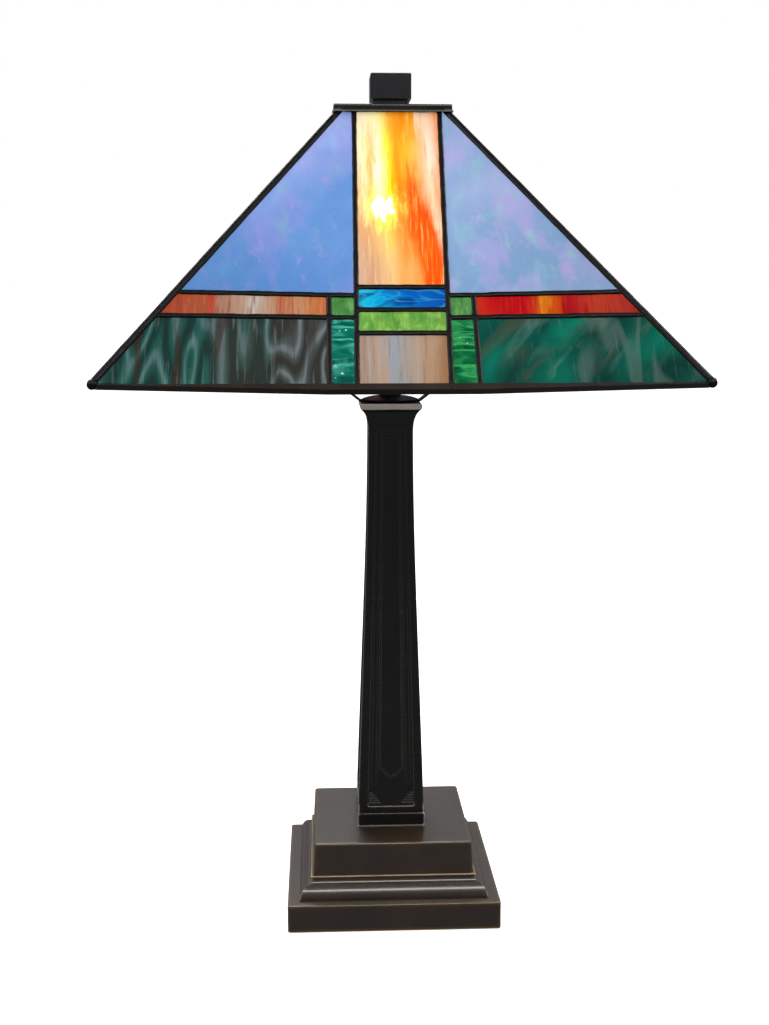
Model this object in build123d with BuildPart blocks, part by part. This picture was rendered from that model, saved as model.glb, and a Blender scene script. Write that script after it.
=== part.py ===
"""Mission-style table lamp: leaded glass shade on a harp, square column and stepped base.

Millimetres. +Z is up, the origin is the middle of the base's underside, and -Y is the front.
"""
from build123d import *
from math import atan2, cos, degrees, hypot, radians, sin, tan
import os

os.makedirs("parts", exist_ok=True)

# ---------------------------------------------------------------- driving dimensions
# base
PAD_SIZE, PAD_THICKNESS, PAD_PROUD = 160.0, 2.0, 0.5
TIER_1_WIDTH, TIER_1_TOP = 167.0, 22.3
OVOLO_HALF, OVOLO_TOP_HALF, OVOLO_TOP = 74.2, 67.4, 32.8
BAND_HALF, BAND_TOP_HALF, BAND_TOP = 66.0, 64.7, 38.4
TIER_2_WIDTH, TIER_2_TOP_WIDTH, BASE_TOP = 127.2, 124.2, 64.1
CORNER_RADIUS = 2.5
BASE_ROOF = 4.1
BALLAST_WIDTH, BALLAST_THICKNESS = 108.0, 12.0
CORD_AXIS_Z = 11.5
CORD_BORE_RADIUS = 3.5

# column
PLINTH_HALF, PLINTH_TOP = 27.2, 74.8
SHAFT_FOOT = 86.0
COLUMN_TOP = 408.0
LIP_HALF, LIP_SEAT_HALF, LIP_BOTTOM = 24.2, 23.3, 403.2
PANEL_DEPTH, GROOVE_DEPTH, RAISED_DEPTH = 1.0, 1.6, 0.3

# pipe, neck and harp saddle
ROD_RADIUS, ROD_BORE = 5.0, 3.3
ROD_BOTTOM, ROD_TOP = 34.0, 448.0
SADDLE_THICKNESS, SADDLE_WIDTH = 1.5, 12.0
DOME_RADIUS, DOME_TOP = 22.0, 412.6
NECK_RADIUS, NECK_TOP = 8.6, 438.0
ARM_START, PRONG_X, PRONG_SHOULDER, PRONG_TOP = 23.5, 38.75, 422.0, 434.0

# socket and bulb
CAP_TOP, SHELL_TOP = 452.0, 497.0
SHELL_RADIUS, SHELL_WALL = 17.4, 0.8
BODY_RADIUS = 14.9
SCREW_RADIUS = 13.4
SWITCH_Z = 461.0
BULB_TIP, BULB_COLLAR, BULB_CENTRE_Z = 470.3, 498.0, 553.0
BULB_RADIUS = 30.0

# harp
HARP_WIRE = 1.6
HARP_LEG_X, HARP_FOOT, HARP_TOP = 36.1, 421.0, 622.5
SLEEVE_X, SLEEVE_RADIUS, SLEEVE_HEIGHT = 37.4, 4.5, 13.0
STUD_RADIUS, STUD_TOP, SEAT_Z = 3.1, 652.0, 629.5

# shade
SLOPE = 49.48
CROWN_HALF, CROWN_Z = 43.0, 623.0
GLASS, LEAD_RAISE, LEAD_WIDTH = 3.0, 1.0, 3.0
CAP_HALF, CAP_LIP_HALF, CAP_LIP_Z, SHADE_TOP = 43.9, 44.9, 625.4, 631.0
CAP_CORNER = 1.4
RIM_LOWER, RIM_UPPER, RIM_SLOPE, RIM_FLAT = 251.2, 246.3, 0.030, 50.0
RIM_RAISE = 1.3
GLASS_SEAT = 2.5
HIP_RADIUS, HIP_INSET = 3.4, 1.2
BALL_RADIUS, BALL_HALF, BALL_Z = 4.2, 201.3, 436.2

# finial
FINIAL_WIDTH, FINIAL_NECK_WIDTH = 30.9, 26.0
FINIAL_BLOCK_Z, FINIAL_TOP = 638.2, 657.1

RISE, RUN = sin(radians(SLOPE)), cos(radians(SLOPE))
BIG = 300.0


def save(piece, name):
    """Label a finished piece and write it as its own STEP file."""
    piece.label = name
    export_step(piece, f"parts/{name}.step")


def mitred_square(draw_outline):
    """Solid whose level sections are squares, from half its outline in X and Z."""
    with BuildPart() as block:
        for plane, mode in ((Plane.XZ, Mode.ADD), (Plane.YZ, Mode.INTERSECT)):
            with BuildSketch(plane):
                with BuildLine():
                    draw_outline()
                make_face()
                mirror(about=Plane.YZ)
            extrude(amount=BIG, both=True, mode=mode)
    return block.part


def turned(draw_outline):
    """Solid of revolution about Z, from half its outline in X and Z."""
    with BuildPart() as round_part:
        with BuildSketch(Plane.XZ):
            with BuildLine():
                draw_outline()
            make_face()
        revolve(axis=Axis.Z)
    return round_part.part


def tube(outer, inner, bottom, top):
    """Plain ring standing on Z."""
    with BuildPart() as ring:
        with BuildSketch(Plane.XY.offset(bottom)):
            Circle(outer)
            Circle(inner, mode=Mode.SUBTRACT)
        extrude(amount=top - bottom)
    return ring.part


def on_four_sides(solid):
    """The same solid on each side of the square shade."""
    with BuildPart() as ring:
        with PolarLocations(0, 4):
            add(solid)
    return ring.part


# ---------------------------------------------------------------- base
def base_mouldings():
    """Half outline of the ovolo and the hollow band above it."""
    Line((0, TIER_1_TOP - 1), (OVOLO_HALF, TIER_1_TOP - 1))
    Line((OVOLO_HALF, TIER_1_TOP - 1), (OVOLO_HALF, TIER_1_TOP + 1.2))
    ThreePointArc(
        (OVOLO_HALF, TIER_1_TOP + 1.2),
        (72.3, 28.8),
        (OVOLO_TOP_HALF, OVOLO_TOP),
    )
    Line((OVOLO_TOP_HALF, OVOLO_TOP), (BAND_HALF, OVOLO_TOP))
    ThreePointArc((BAND_HALF, OVOLO_TOP), (64.6, 35.2), (BAND_TOP_HALF, 37.2))
    ThreePointArc((BAND_TOP_HALF, 37.2), (65.3, 37.8), (BAND_TOP_HALF, BAND_TOP))
    Polyline((BAND_TOP_HALF, BAND_TOP), (0, BAND_TOP), (0, TIER_1_TOP - 1))


with BuildPart() as tier_1:
    with BuildSketch(Plane.XY.offset(PAD_PROUD)):
        RectangleRounded(TIER_1_WIDTH, TIER_1_WIDTH, CORNER_RADIUS)
    extrude(amount=TIER_1_TOP - PAD_PROUD)
    fillet(tier_1.edges().group_by(Axis.Z)[-1], 1.0)

with BuildPart() as tier_2:
    for height, width in ((BAND_TOP, TIER_2_WIDTH), (BASE_TOP, TIER_2_TOP_WIDTH)):
        with BuildSketch(Plane.XY.offset(height)):
            RectangleRounded(width, width, CORNER_RADIUS)
    loft()
    fillet(tier_2.edges().group_by(Axis.Z)[-1], 1.4)

mouldings = mitred_square(base_mouldings)

with BuildPart() as base_casting:
    add(tier_1.part)
    add(mouldings)
    add(tier_2.part)
    hollows = (
        (PAD_PROUD, PAD_THICKNESS, PAD_SIZE + 0.4),
        (PAD_THICKNESS, 18.3, 153.0),
        (18.3, 34.0, 122.0),
        (34.0, BASE_TOP - BASE_ROOF, 115.0),
    )
    for bottom, top, width in hollows:
        with BuildSketch(Plane.XY.offset(bottom)):
            RectangleRounded(width, width, 2.0)
        extrude(amount=top - bottom, mode=Mode.SUBTRACT)
    with Locations((0, 0, BASE_TOP)):
        Hole(ROD_RADIUS + 0.2, depth=BASE_ROOF + 1)
    with BuildSketch(Plane.XZ.offset(-TIER_1_WIDTH / 2 - 1)):
        with Locations((0, CORD_AXIS_Z)):
            Circle(5.5)
    extrude(amount=12, mode=Mode.SUBTRACT)
save(base_casting.part, "base_casting")

with BuildPart() as base_pad:
    with BuildSketch():
        RectangleRounded(PAD_SIZE, PAD_SIZE, 2.0)
    extrude(amount=PAD_THICKNESS)
save(base_pad.part, "base_pad")

with BuildPart() as ballast_plate:
    with BuildSketch(Plane.XY.offset(BASE_TOP - BASE_ROOF - BALLAST_THICKNESS)):
        RectangleRounded(BALLAST_WIDTH, BALLAST_WIDTH, 6.0)
        Circle(ROD_RADIUS + 0.2, mode=Mode.SUBTRACT)
    extrude(amount=BALLAST_THICKNESS)
    chamfer(ballast_plate.edges().group_by(Axis.Z)[0], 1.0)
save(ballast_plate.part, "ballast_plate")

REAR = TIER_1_WIDTH / 2
with BuildPart() as cord_bushing:
    with BuildSketch(Plane.XZ.offset(-REAR)):
        with Locations((0, CORD_AXIS_Z)):
            Circle(7.5)
    extrude(amount=-1.8)
    fillet(cord_bushing.edges().group_by(Axis.Y)[-1], 0.8)
    with BuildSketch(Plane.XZ.offset(-REAR)):
        with Locations((0, CORD_AXIS_Z)):
            Circle(5.5)
    extrude(amount=8.0)
    with BuildSketch(Plane.XZ.offset(-REAR - 2)):
        with Locations((0, CORD_AXIS_Z)):
            Circle(CORD_BORE_RADIUS)
    extrude(amount=12.0, mode=Mode.SUBTRACT)
save(cord_bushing.part, "cord_bushing")

# ---------------------------------------------------------------- column
SHAFT_LINE = ((26.3, SHAFT_FOOT), (24.0, 152.5), (21.05, 235.0), (18.1, 331.3), (17.45, 384.0))
CAPITAL_LINE = ((17.45, 384.0), (18.1, 393.2), (19.8, 398.6), (22.9, 402.8))


def column_outline():
    """Half outline of plinth, tapered shaft, hollow capital and its rounded lip."""
    Polyline((0, BASE_TOP), (PLINTH_HALF, BASE_TOP), (PLINTH_HALF, PLINTH_TOP - 0.9))
    ThreePointArc((PLINTH_HALF, PLINTH_TOP - 0.9), (27.0, 74.55), (26.4, PLINTH_TOP))
    Line((26.4, PLINTH_TOP), SHAFT_LINE[0])
    Spline(*SHAFT_LINE)
    Spline(*CAPITAL_LINE)
    Line(CAPITAL_LINE[-1], (LIP_SEAT_HALF, LIP_BOTTOM))
    lip_middle = (LIP_BOTTOM + COLUMN_TOP) / 2
    ThreePointArc(
        (LIP_SEAT_HALF, LIP_BOTTOM),
        (LIP_HALF, lip_middle),
        (LIP_SEAT_HALF, COLUMN_TOP),
    )
    Polyline((LIP_SEAT_HALF, COLUMN_TOP), (0, COLUMN_TOP), (0, BASE_TOP))


def sunk_shaft(depth):
    """The shaft alone, with its faces moved inwards by depth."""
    line = [(half - depth, height) for half, height in SHAFT_LINE]

    def outline():
        Polyline((0, 78.0), (26.4 - depth, 78.0), line[0])
        Spline(*line)
        Polyline(line[-1], (line[-1][0], 390.0), (0, 390.0), (0, 78.0))

    return mitred_square(outline)


def tapered_panel(bottom, top, bottom_half, top_half, point=0.0):
    """Panel outline that narrows upwards; point is how far its lower end drops to a V."""
    corners = [(bottom_half, bottom), (top_half, top), (-top_half, top), (-bottom_half, bottom)]
    if point:
        corners.append((0, bottom - point))
    Polygon(*corners, align=None)


def raised_details():
    """The V-ended frame on each panel and the ribbed corners below it."""
    tapered_panel(111.6, 383.4, 10.3, 7.6, point=8.2)
    with BuildSketch(mode=Mode.PRIVATE) as inner:
        tapered_panel(113.0, 380.4, 8.3, 5.8, point=7.0)
    add(inner.sketch_local, mode=Mode.SUBTRACT)
    for step in range(5):
        rib_length = 9.0 - 1.6 * step
        for side in (-1, 1):
            with Locations((side * (17.6 - rib_length / 2), 83.6 + 2.0 * step)):
                Rectangle(rib_length, 1.0)


column_blank = mitred_square(column_outline)
panel_floor = sunk_shaft(PANEL_DEPTH)
groove_floor = sunk_shaft(GROOVE_DEPTH)

with BuildPart() as raised_work:
    for plane in (Plane.XZ, Plane.YZ):
        with BuildSketch(plane):
            raised_details()
        extrude(amount=BIG, both=True)
    add(sunk_shaft(RAISED_DEPTH), mode=Mode.INTERSECT)

with BuildPart() as column_casting:
    add(column_blank)
    for plane in (Plane.XZ, Plane.YZ):
        with BuildSketch(plane):
            tapered_panel(80.5, 386.0, 18.6, 11.2)
        extrude(amount=BIG, both=True, mode=Mode.SUBTRACT)
    add(panel_floor)
    for plane in (Plane.XZ, Plane.YZ):
        with BuildSketch(plane):
            for side in (-1, 1):
                with BuildLine():
                    Polyline(
                        (side * 12.4, 99.0),
                        (side * 15.6, 99.0),
                        (side * 10.4, 376.0),
                        (side * 8.6, 376.0),
                        close=True,
                    )
                make_face()
        extrude(amount=BIG, both=True, mode=Mode.SUBTRACT)
    add(groove_floor)
    add(raised_work.part)
    for height, width in ((BASE_TOP, 44.0), (388.0, 25.0)):
        with BuildSketch(Plane.XY.offset(height)):
            Rectangle(width, width)
    loft(mode=Mode.SUBTRACT)
    with Locations((0, 0, COLUMN_TOP)):
        Hole(ROD_RADIUS + 0.2, depth=30)
save(column_casting.part, "column_casting")

# ---------------------------------------------------------------- pipe and clamping hardware
WASHER_RADIUS, WASHER_THICKNESS = 15.0, 1.8
LOCK_RADIUS, LOCK_THICKNESS, LOCK_TEETH, LOCK_TOOTH = 8.6, 1.2, 12, 1.6
NUT_APOTHEM, NUT_HEIGHT = 8.0, 6.0
ROD_HOLE = ROD_RADIUS + 0.2
BALLAST_UNDERSIDE = BASE_TOP - BASE_ROOF - BALLAST_THICKNESS
WASHER_BOTTOM = BALLAST_UNDERSIDE - WASHER_THICKNESS
LOCK_BOTTOM = WASHER_BOTTOM - LOCK_THICKNESS

save(tube(ROD_RADIUS, ROD_BORE, ROD_BOTTOM, ROD_TOP), "threaded_rod")
save(tube(WASHER_RADIUS, ROD_HOLE, WASHER_BOTTOM, BALLAST_UNDERSIDE), "base_washer")

with BuildPart() as lock_washer:
    with BuildSketch(Plane.XY.offset(LOCK_BOTTOM)):
        Circle(LOCK_RADIUS)
        with PolarLocations(LOCK_RADIUS + 0.2, LOCK_TEETH):
            Rectangle(LOCK_TOOTH, LOCK_TOOTH)
        Circle(ROD_HOLE, mode=Mode.SUBTRACT)
    extrude(amount=LOCK_THICKNESS)
save(lock_washer.part, "lock_washer")

with BuildPart() as base_nut:
    with BuildSketch(Plane.XY.offset(LOCK_BOTTOM - NUT_HEIGHT)):
        RegularPolygon(NUT_APOTHEM, 6, major_radius=False)
        Circle(ROD_RADIUS, mode=Mode.SUBTRACT)
    extrude(amount=NUT_HEIGHT)
save(base_nut.part, "base_nut")

# ---------------------------------------------------------------- saddle, check ring, neck
with BuildPart() as harp_saddle:
    with BuildSketch(Plane.XZ):
        with BuildLine() as strip_line:
            FilletPolyline(
                (-PRONG_X, PRONG_TOP),
                (-PRONG_X, PRONG_SHOULDER - 1.5),
                (-ARM_START, COLUMN_TOP + SADDLE_THICKNESS / 2),
                (ARM_START, COLUMN_TOP + SADDLE_THICKNESS / 2),
                (PRONG_X, PRONG_SHOULDER - 1.5),
                (PRONG_X, PRONG_TOP),
                radius=3.0,
            )
        trace(strip_line.line, SADDLE_THICKNESS)
    extrude(amount=SADDLE_WIDTH / 2, both=True)
    with Locations((0, 0, COLUMN_TOP)):
        Cylinder(ROD_RADIUS + 0.2, 10, mode=Mode.SUBTRACT)
    for side in (-1, 1):
        for edge in (-1, 1):
            with Locations((side * PRONG_X, edge * 5.0, PRONG_SHOULDER + 10)):
                Box(6, 5.0, 20, mode=Mode.SUBTRACT)
save(harp_saddle.part, "harp_saddle")


def dome_outline():
    """Half outline of the check ring."""
    seat = COLUMN_TOP + SADDLE_THICKNESS
    Polyline((ROD_RADIUS + 0.1, DOME_TOP), (ROD_RADIUS + 0.1, seat), (DOME_RADIUS, seat))
    Line((DOME_RADIUS, seat), (DOME_RADIUS, seat + 0.6))
    ThreePointArc((DOME_RADIUS, seat + 0.6), (17.0, seat + 2.2), (9.5, DOME_TOP))
    Line((9.5, DOME_TOP), (ROD_RADIUS + 0.1, DOME_TOP))


save(turned(dome_outline), "check_ring")
save(tube(NECK_RADIUS, ROD_RADIUS + 0.1, DOME_TOP, NECK_TOP), "neck_tube")


# ---------------------------------------------------------------- socket
def socket_cap_outline():
    """Half outline of the dished brass cap that screws on the pipe."""
    Polyline((ROD_RADIUS + 0.1, 446.0), (ROD_RADIUS + 0.1, NECK_TOP), (9.0, NECK_TOP), (9.0, 442.0))
    ThreePointArc((9.0, 442.0), (14.6, 444.2), (SHELL_RADIUS, 449.0))
    Polyline((SHELL_RADIUS, 449.0), (SHELL_RADIUS, CAP_TOP), (SHELL_RADIUS - 1.2, CAP_TOP))
    Line((SHELL_RADIUS - 1.2, CAP_TOP), (SHELL_RADIUS - 1.2, 449.6))
    ThreePointArc((SHELL_RADIUS - 1.2, 449.6), (13.6, 447.2), (9.4, 446.0))
    Line((9.4, 446.0), (ROD_RADIUS + 0.1, 446.0))


save(turned(socket_cap_outline), "socket_cap")

SHAFT_HOLE_RADIUS = 2.6
SWITCH_PLANE = Plane.XZ


def with_switch_hole(ring):
    """The ring with a hole at its front for the switch shaft."""
    with BuildPart() as pierced:
        add(ring)
        with BuildSketch(SWITCH_PLANE):
            with Locations((0, SWITCH_Z)):
                Circle(SHAFT_HOLE_RADIUS)
        extrude(amount=25, mode=Mode.SUBTRACT)
    return pierced.part


def shell_outline():
    """Half outline of the brass shell with a bead rolled near its mouth."""
    inner = SHELL_RADIUS - SHELL_WALL
    Polyline((SHELL_RADIUS, 488.0), (SHELL_RADIUS, CAP_TOP), (inner, CAP_TOP), (inner, SHELL_TOP))
    Polyline((inner, SHELL_TOP), (SHELL_RADIUS, SHELL_TOP), (SHELL_RADIUS, 492.0))
    ThreePointArc((SHELL_RADIUS, 492.0), (SHELL_RADIUS + 0.9, 490.0), (SHELL_RADIUS, 488.0))


LINER_RADIUS = SHELL_RADIUS - SHELL_WALL - 0.2
save(with_switch_hole(turned(shell_outline)), "socket_shell")
save(with_switch_hole(tube(LINER_RADIUS, LINER_RADIUS - 0.8, CAP_TOP, SHELL_TOP - 1)), "socket_liner")


def socket_body_outline():
    """Half outline of the moulded socket body, open at the top for the screw shell."""
    floor, rim = 470.0, 480.0
    Polyline((0, CAP_TOP), (BODY_RADIUS, CAP_TOP), (BODY_RADIUS, rim), (14.0, rim))
    Polyline((14.0, rim), (14.0, floor - 1.2), (0, floor - 1.2), (0, CAP_TOP))


with BuildPart() as socket_body:
    add(turned(socket_body_outline))
    with BuildSketch(SWITCH_PLANE):
        with Locations((0, SWITCH_Z)):
            Circle(2.0)
    extrude(amount=25, mode=Mode.SUBTRACT)
save(socket_body.part, "socket_body")


def screw_shell_outline():
    """Half outline of the threaded metal sleeve."""
    Polyline((SCREW_RADIUS, 470.0), (14.0, 470.0), (14.0, 494.5), (14.6, 495.0), (14.6, 495.6))
    Polyline((14.6, 495.6), (SCREW_RADIUS, 495.6), (SCREW_RADIUS, 470.0))


save(turned(screw_shell_outline), "screw_shell")

CONTACT_FLOOR = 468.8
with BuildPart() as centre_contact:
    with BuildSketch(Plane.XZ):
        with BuildLine() as contact_line:
            Polyline((8.0, CONTACT_FLOOR + 0.3), (4.0, CONTACT_FLOOR + 0.3), (0, BULB_TIP - 0.45))
        trace(contact_line.line, 0.6)
    extrude(amount=2.5, both=True)
    with Locations((0, 0, CONTACT_FLOOR - 5)):
        Box(30, 30, 10, mode=Mode.SUBTRACT)
    with Locations((0, 0, BULB_TIP + 4.9)):
        Box(30, 30, 10, mode=Mode.SUBTRACT)
save(centre_contact.part, "centre_contact")

with BuildPart() as terminal_screws:
    with Locations((0, -9.5, CAP_TOP - 1.1), (0, 9.5, CAP_TOP - 1.1)):
        Cylinder(2.6, 2.2)
        with Locations((0, 0, -1.1)):
            Box(5.6, 0.7, 1.2, mode=Mode.SUBTRACT)
save(terminal_screws.part, "terminal_screws")

with BuildPart() as switch_shaft:
    with BuildSketch(SWITCH_PLANE):
        with Locations((0, SWITCH_Z)):
            Circle(1.9)
    extrude(amount=31.0)
save(switch_shaft.part, "switch_shaft")

with BuildPart() as switch_key:
    with BuildSketch(SWITCH_PLANE.offset(20.0)):
        with Locations((0, SWITCH_Z)):
            Circle(3.6)
    extrude(amount=6.0)
    with BuildSketch(SWITCH_PLANE.offset(24.0)):
        with Locations((0, SWITCH_Z)):
            SlotOverall(15.0, 4.6)
    extrude(amount=12.0)
    fillet(switch_key.edges().group_by(Axis.Y)[0], 1.2)
    with BuildSketch(SWITCH_PLANE):
        with Locations((0, SWITCH_Z)):
            Circle(1.9)
    extrude(amount=31.0, mode=Mode.SUBTRACT)
save(switch_key.part, "switch_key")


# ---------------------------------------------------------------- bulb
def bulb_base_outline():
    """Half outline of the screw base: a hollow sleeve with five rounded thread turns."""
    pitch, first, crest, root = 3.6, 476.0, 13.05, 12.3
    Line((11.6, BULB_COLLAR), (11.6, 475.0))
    Line((11.6, 475.0), (root, first))
    for turn in range(5):
        z = first + pitch * turn
        ThreePointArc((root, z), (crest, z + pitch / 2), (root, z + pitch))
    Line((root, first + 5 * pitch), (root, BULB_COLLAR))
    Line((root, BULB_COLLAR), (11.6, BULB_COLLAR))


save(turned(bulb_base_outline), "bulb_base")


def insulator_outline():
    """Half outline of the dark glass cone under the screw base."""
    Polyline((3.6, 471.4), (4.6, 471.4), (11.6, 475.0), (11.6, 476.0), (3.6, 476.0), (3.6, 471.4))


def bulb_contact_outline():
    """Half outline of the solder button at the bulb's tip."""
    ThreePointArc((0, BULB_TIP), (2.4, 470.5), (3.6, 471.4))
    Polyline((3.6, 471.4), (3.6, 473.5), (0, 473.5), (0, BULB_TIP))


save(turned(insulator_outline), "bulb_insulator")
save(turned(bulb_contact_outline), "bulb_contact")


def envelope_outline(wall):
    """Half outline of the bulb's glass, moved inwards by wall."""
    neck = 11.6 - wall
    radius = BULB_RADIUS - wall
    angle = radians(-32.0)
    shoulder = (radius * cos(angle), BULB_CENTRE_Z + radius * sin(angle))
    Line((0, 492.0 + wall), (neck, 492.0 + wall))
    Line((neck, 492.0 + wall), (neck, 500.0))
    Spline(
        (neck, 500.0),
        (17.5 - wall, 520.0),
        shoulder,
        tangents=((0, 1), (-sin(angle), cos(angle))),
    )
    ThreePointArc(
        shoulder,
        (radius * cos(radians(30)), BULB_CENTRE_Z + radius * sin(radians(30))),
        (0, BULB_CENTRE_Z + radius),
    )
    Line((0, BULB_CENTRE_Z + radius), (0, 492.0 + wall))


envelope_glass = turned(lambda: envelope_outline(0.0))
envelope_space = turned(lambda: envelope_outline(1.0))
with BuildPart() as bulb_envelope:
    add(envelope_glass)
    add(envelope_space, mode=Mode.SUBTRACT)
save(bulb_envelope.part, "bulb_envelope")


def stem_outline():
    """Half outline of the flared glass stem inside the bulb."""
    Line((0, 493.0), (9.0, 493.0))
    ThreePointArc((9.0, 493.0), (4.6, 500.0), (3.4, 512.0))
    Polyline((3.4, 512.0), (2.6, 530.0), (0, 530.0), (0, 493.0))


save(turned(stem_outline), "bulb_stem")

with BuildPart() as bulb_filament:
    with PolarLocations(6.0, 4):
        with Locations((0, 0, 549.0)):
            Cylinder(1.2, 34.0)
    with Locations((0, 0, 531.0)):
        Cylinder(7.5, 2.0)
save(bulb_filament.part, "bulb_filament")

# ---------------------------------------------------------------- harp
EYE_RADIUS, EYE_HALF = 7.0, 1.2
HARP_ROUTE = (
    (HARP_LEG_X, HARP_FOOT),
    (HARP_LEG_X, 459.0),
    (50.0, 500.0),
    (48.0, 570.0),
    (32.0, 608.0),
    (12.0, HARP_TOP),
)
HARP_RADII = (45.0, 70.0, 70.0, 24.0, 30.0)

with BuildPart() as harp_wire:
    left = [(-x, z) for x, z in reversed(HARP_ROUTE)]
    with BuildLine(Plane.XZ) as harp_line:
        FilletPolyline(*HARP_ROUTE, *left, radius=HARP_RADII + HARP_RADII[::-1])
    with BuildSketch(Plane.XY.offset(HARP_FOOT)):
        with Locations((HARP_LEG_X, 0)):
            Circle(HARP_WIRE)
    sweep(path=harp_line.line)
    with BuildSketch(Plane.XY.offset(HARP_TOP - EYE_HALF)):
        Circle(EYE_RADIUS)
    extrude(amount=2 * EYE_HALF)
    for level in (HARP_TOP + EYE_HALF + 2, HARP_TOP - EYE_HALF - 2):
        with Locations((0, 0, level)):
            Box(2 * EYE_RADIUS, 2 * EYE_RADIUS, 4, mode=Mode.SUBTRACT)
    with Locations((0, 0, HARP_TOP)):
        Cylinder(2.6, 10, mode=Mode.SUBTRACT)
save(harp_wire.part, "harp_wire")

sleeve = tube(SLEEVE_RADIUS, SLEEVE_RADIUS - 1.0, PRONG_SHOULDER, PRONG_SHOULDER + SLEEVE_HEIGHT)
for name, side in (("harp_sleeve_left", -1), ("harp_sleeve_right", 1)):
    with BuildPart() as harp_sleeve:
        with Locations((side * SLEEVE_X, 0, 0)):
            add(sleeve)
        chamfer(harp_sleeve.edges().group_by(Axis.Z)[-1], 0.4)
    save(harp_sleeve.part, name)


def stud_outline():
    """Half outline of the swivel stud: rivet head, shank, neck, seat and threaded end."""
    eye_bottom = HARP_TOP - EYE_HALF - 0.1
    eye_top = HARP_TOP + EYE_HALF + 0.1
    Polyline(
        (0, eye_bottom - 1.6),
        (3.2, eye_bottom - 1.6),
        (4.6, eye_bottom - 0.6),
        (4.6, eye_bottom),
        (2.5, eye_bottom),
        (2.5, eye_top),
        (5.0, eye_top),
        (5.0, SEAT_Z - 2.0),
        (14.0, SEAT_Z - 2.0),
        (14.0, SEAT_Z),
        (STUD_RADIUS, SEAT_Z),
        (STUD_RADIUS, STUD_TOP - 0.6),
        (STUD_RADIUS - 0.6, STUD_TOP),
        (0, STUD_TOP),
        (0, eye_bottom - 1.6),
    )


save(turned(stud_outline), "harp_stud")

# ---------------------------------------------------------------- shade
# Each side lies in one sloping plane. (x, down) is a point of it: x across, down the slope.
FRONT_FACE = Plane(origin=(0, -CROWN_HALF, CROWN_Z), x_dir=(1, 0, 0), z_dir=(0, -RISE, RUN))
LEAD_TOP = -(SEAT_Z - 0.5 - CROWN_Z) / RISE
GLASS_TOP = -3.0
GLASS_HIP_GAP, LEAD_HIP_GAP, RIM_OVERRUN = 2.6, 3.3, 8.0
BELOW_SHADE = 400.0


def hip_x(down):
    """Half width of a side at a distance down its slope."""
    return CROWN_HALF + RUN * down


def rim_down(centre, x):
    """A rim line: level across the middle, then rising gently to the corners."""
    return centre - RIM_SLOPE * max(0.0, abs(x) - RIM_FLAT)


def rim_corner(centre, gap):
    """Where a rim line meets the hip, held back by gap."""
    down = (centre + RIM_SLOPE * (RIM_FLAT - CROWN_HALF + gap)) / (1 + RIM_SLOPE * RUN)
    return hip_x(down) - gap, down


def side_outline(top, bottom, gap):
    """One side's outline from a level top line to a rim line, inside the hips."""
    corner_x, corner_down = rim_corner(bottom, gap)
    half = [(hip_x(top) - gap, top), (corner_x, corner_down), (RIM_FLAT, bottom)]
    mirrored = [(-x, down) for x, down in reversed(half)]
    Polygon(*[(x, -down) for x, down in half + mirrored], align=None)


def lead_bar(start, end, width):
    """A straight lead line between two points of a side."""
    across, rise = end[0] - start[0], start[1] - end[1]
    middle = ((start[0] + end[0]) / 2, -(start[1] + end[1]) / 2)
    with Locations(middle):
        Rectangle(hypot(across, rise), width, rotation=degrees(atan2(rise, across)))


ABOVE_CROWN, BELOW_RIM = -8.0, 256.0
AMBER_LEFT = ((-28.63, ABOVE_CROWN), (-31.2, BELOW_RIM))
AMBER_RIGHT = ((34.6, ABOVE_CROWN), (29.9, BELOW_RIM))
SQUARE_X = 48.8
WING_UPPER, WING_LOWER = 172.3, 191.4
UPPER_SLOPE, LOWER_SLOPE = 0.0274, 0.0186
WING_START = 31.0
WING_END = 185.0
CENTRE_LEADS = (165.0, 184.5, 204.4)


def lead_lines():
    """All the lead lines of one side, as start and end points."""
    yield AMBER_LEFT
    yield AMBER_RIGHT
    for down in CENTRE_LEADS:
        yield (-WING_START, down), (WING_START, down)
    reach = WING_END - WING_START
    for side in (-1, 1):
        yield (side * SQUARE_X, WING_UPPER - 1), (side * SQUARE_X, BELOW_RIM)
        for down, slope in ((WING_UPPER, UPPER_SLOPE), (WING_LOWER, LOWER_SLOPE)):
            yield (side * WING_START, down), (side * WING_END, down - slope * reach)


with BuildSketch() as pane_layout:
    side_outline(GLASS_TOP, RIM_UPPER + GLASS_SEAT, GLASS_HIP_GAP)
    for start, end in lead_lines():
        with BuildSketch(mode=Mode.PRIVATE) as bar:
            lead_bar(start, end, LEAD_WIDTH)
        add(bar.sketch_local, mode=Mode.SUBTRACT)

with BuildSketch() as lead_layout:
    side_outline(LEAD_TOP, RIM_UPPER, LEAD_HIP_GAP)
    with BuildSketch(mode=Mode.PRIVATE) as lead_area:
        for start, end in lead_lines():
            lead_bar(start, end, LEAD_WIDTH)
        with Locations((0, -(LEAD_TOP + GLASS_TOP) / 2)):
            Rectangle(3 * CROWN_HALF, GLASS_TOP - LEAD_TOP)
    add(lead_area.sketch_local, mode=Mode.INTERSECT)

with BuildSketch() as rim_layout:
    side_outline(RIM_UPPER, RIM_LOWER, -RIM_OVERRUN)
    with BuildSketch(mode=Mode.PRIVATE) as above_rim:
        side_outline(0.0, RIM_UPPER, -RIM_OVERRUN - 1)
    add(above_rim.sketch_local, mode=Mode.SUBTRACT)

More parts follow.
